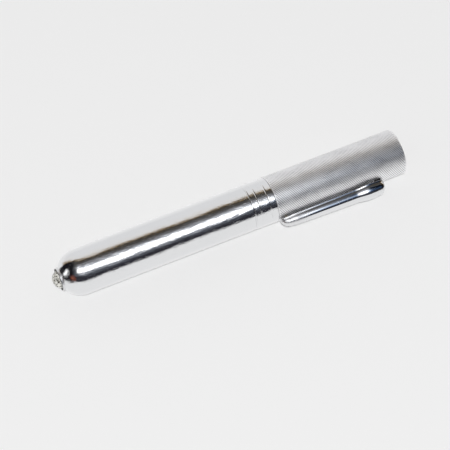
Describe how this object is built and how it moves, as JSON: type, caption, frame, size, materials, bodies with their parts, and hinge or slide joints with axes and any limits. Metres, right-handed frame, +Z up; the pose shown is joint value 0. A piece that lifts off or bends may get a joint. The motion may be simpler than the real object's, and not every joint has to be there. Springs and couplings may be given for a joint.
{
  "type": "penlight",
  "caption": "Slim round pocket torch with a domed nose, lens-end bulb, slip-on cap with slanting lines and a pocket clip that is pressed to light the lamp.",
  "frame": {"origin": "on the surface the torch lies on, under the middle of its box", "axes": "+X along the torch towards the tail, +Z up, the clip on the -Y side, 12 degrees below level"},
  "size_m": [0.1334, 0.0212, 0.0167],
  "materials": {
    "barrel_chrome": "polished chrome plate",
    "cap_chrome": "satin chrome plate with fine slanting lines",
    "clip_chrome": "polished chrome plate",
    "brass": "plain brass",
    "fibre": "pressed fibre",
    "black_insulator": "black moulding",
    "glass": "clear glass",
    "solder": "dull solder",
    "wire": "bright wire",
    "zinc": "dull zinc",
    "tinplate": "tinned sheet",
    "jacket": "varnished paper",
    "seal": "pitch seal"
  },
  "bodies": {
    "barrel": {"body_tube": "barrel_chrome", "joint_sleeve": "brass", "bulb_holder": "brass", "insulating_washer": "fibre", "bulb_envelope": "glass", "bulb_screw_shell": "brass", "bulb_base_insulator": "black_insulator", "bulb_tip_contact": "solder", "bulb_bead": "glass", "bulb_lead_wires": "wire", "bulb_filament": "wire", "front_cell_can": "zinc", "front_cell_jacket": "jacket", "front_cell_seal": "seal", "front_cell_positive_cap": "tinplate", "front_cell_negative_plate": "tinplate", "rear_cell_can": "zinc", "rear_cell_jacket": "jacket", "rear_cell_seal": "seal", "rear_cell_positive_cap": "tinplate", "rear_cell_negative_plate": "tinplate"},
    "cap": {"cap_shell": "cap_chrome", "insulating_liner": "fibre", "tail_plug": "black_insulator", "contact_plate": "brass", "battery_spring": "wire", "plug_rivet": "brass", "clip_foot": "brass", "slot_bush": "black_insulator"},
    "clip": {"pocket_clip": "clip_chrome", "contact_stud": "brass"}
  },
  "joints": [
    {"name": "cap_slide", "type": "slide", "parent": "barrel", "child": "cap", "axis": [1, 0, 0], "range_m": [0, 0.05]},
    {"name": "clip_press", "type": "hinge", "parent": "cap", "child": "clip", "pos_m": [0.05475, -0.00756, 0.00626], "axis": [0, -0.2079, 0.9781], "range_deg": [-0.75, 5], "stiffness_Nm_per_rad": 1.5}
  ]
}
